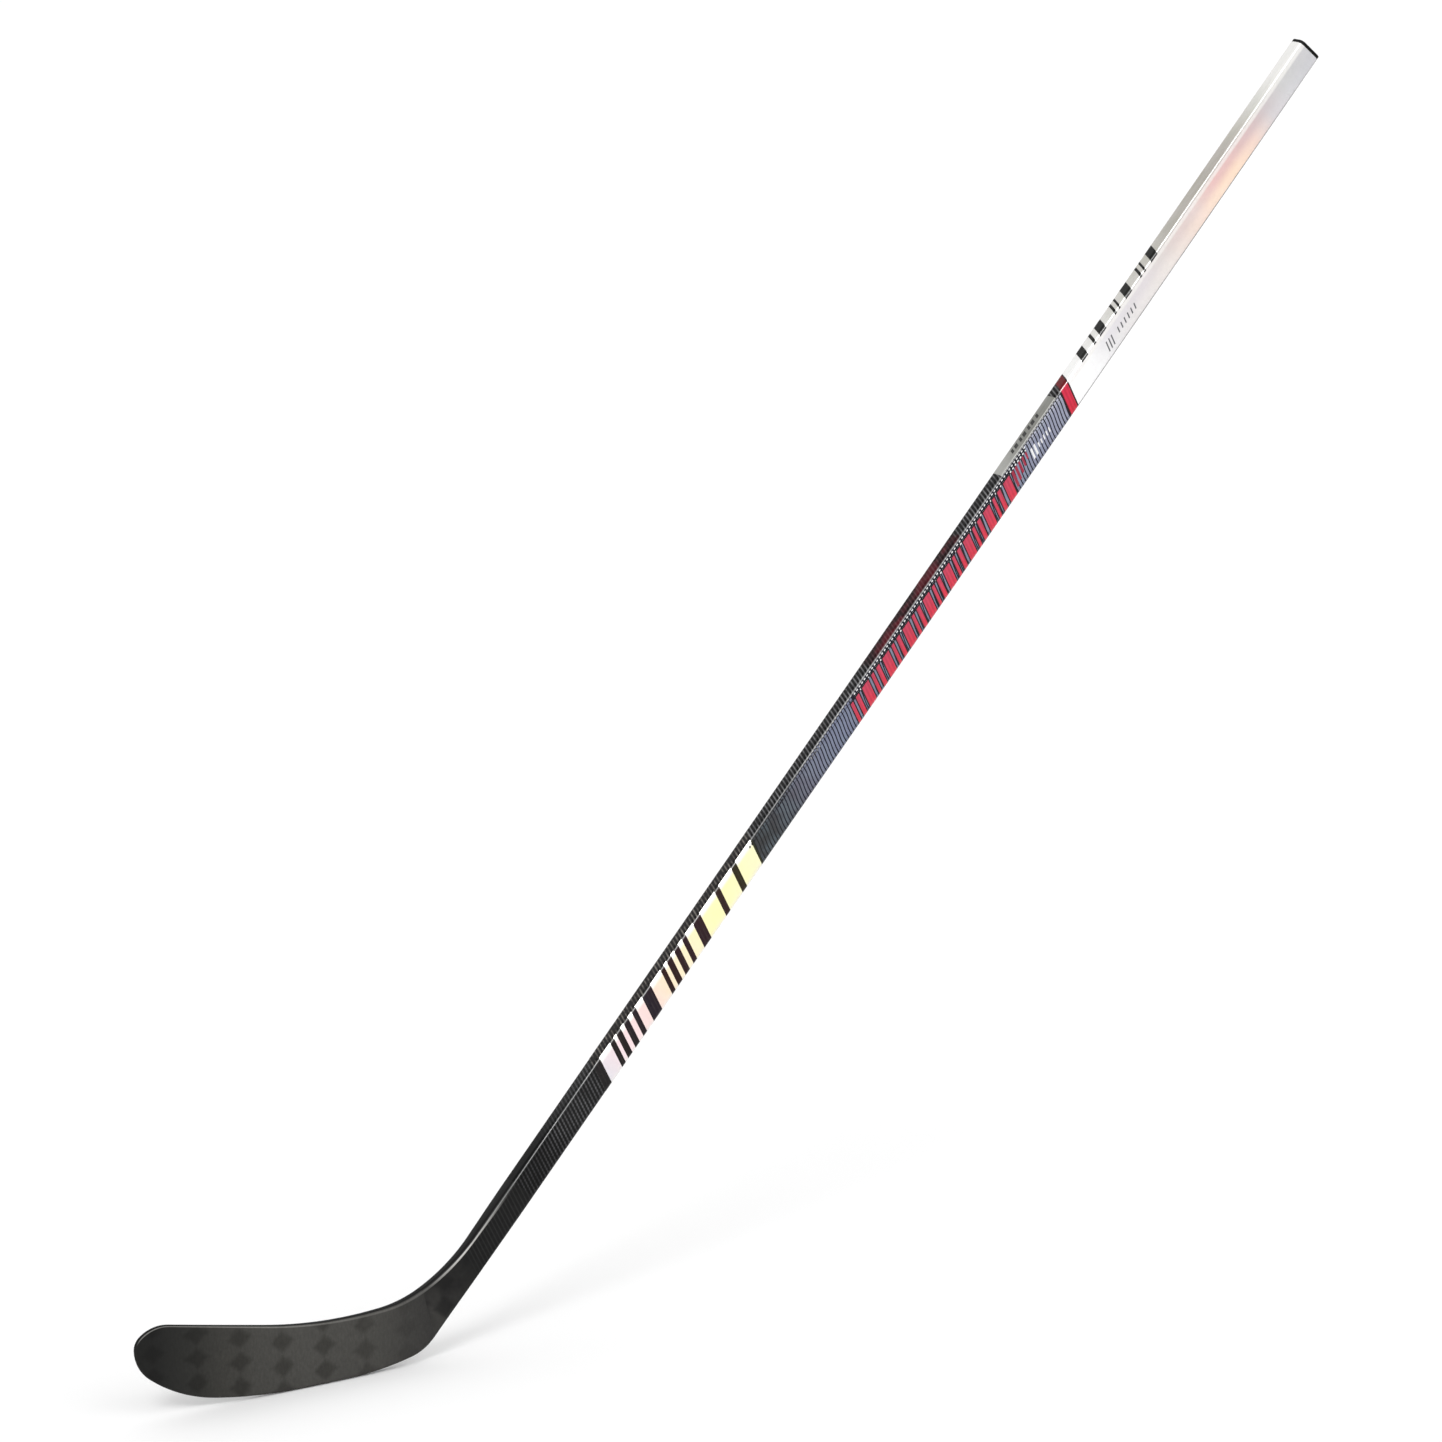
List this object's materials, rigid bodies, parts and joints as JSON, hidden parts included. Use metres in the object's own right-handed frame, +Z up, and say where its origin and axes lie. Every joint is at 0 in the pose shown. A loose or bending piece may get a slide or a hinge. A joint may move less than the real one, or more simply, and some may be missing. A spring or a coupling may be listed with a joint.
{
  "type": "ice hockey stick",
  "caption": "One-piece carbon composite ice hockey stick with a straight rectangular shaft, butt cap, tapered hosel and a curved left-hand foam-core blade.",
  "frame": {"origin": "middle of the flat stretch of the blade's sole, on the ice", "axes": "+Z up from the ice, +X from the toe towards the butt, so the shaft rises towards +X at the lie angle, +Y to the forehand side of the blade"},
  "size_m": [1.3169, 0.0254, 1.1115],
  "materials": {
    "carbon_laminate": "moulded unidirectional carbon laminate",
    "carbon_weave": "gloss clear coat over woven carbon",
    "cap_plastic": "black moulded cap",
    "hosel_carbon": "satin black carbon wrap",
    "core_resin": "syntactic core",
    "blade_edge": "satin carbon edge",
    "spread_tow": "matte spread-tow carbon",
    "blade_foam": "closed-cell structural foam",
    "pearl_print": "pearl white iridescent film under gloss coat",
    "red_print": "red print under gloss coat",
    "pinstripe_print": "silver-lavender pinstripe print under gloss coat",
    "label_print": "silver label print",
    "dark_print": "black print under gloss coat",
    "white_print": "white print under gloss coat",
    "foil_print": "pale iridescent foil under gloss coat"
  },
  "bodies": {
    "root": {"shaft_tube": "carbon_laminate", "shaft_outer_ply": "carbon_weave", "butt_cap": "cap_plastic", "hosel_laminate": "hosel_carbon", "blade_tenon": "core_resin", "heel_core": "core_resin", "blade_edge_rail": "blade_edge", "forehand_face_ply": "spread_tow", "backhand_face_ply": "spread_tow", "lower_foam_core": "blade_foam", "upper_foam_core": "blade_foam", "core_bridge_rib": "carbon_laminate", "pearl_film": "pearl_print", "red_band_film": "red_print", "pinstripe_film": "pinstripe_print", "side_label": "label_print", "dark_block_prints": "dark_print", "red_block_prints": "red_print", "corner_tick_prints": "white_print", "foil_block_prints": "foil_print"}
  },
  "joints": []
}
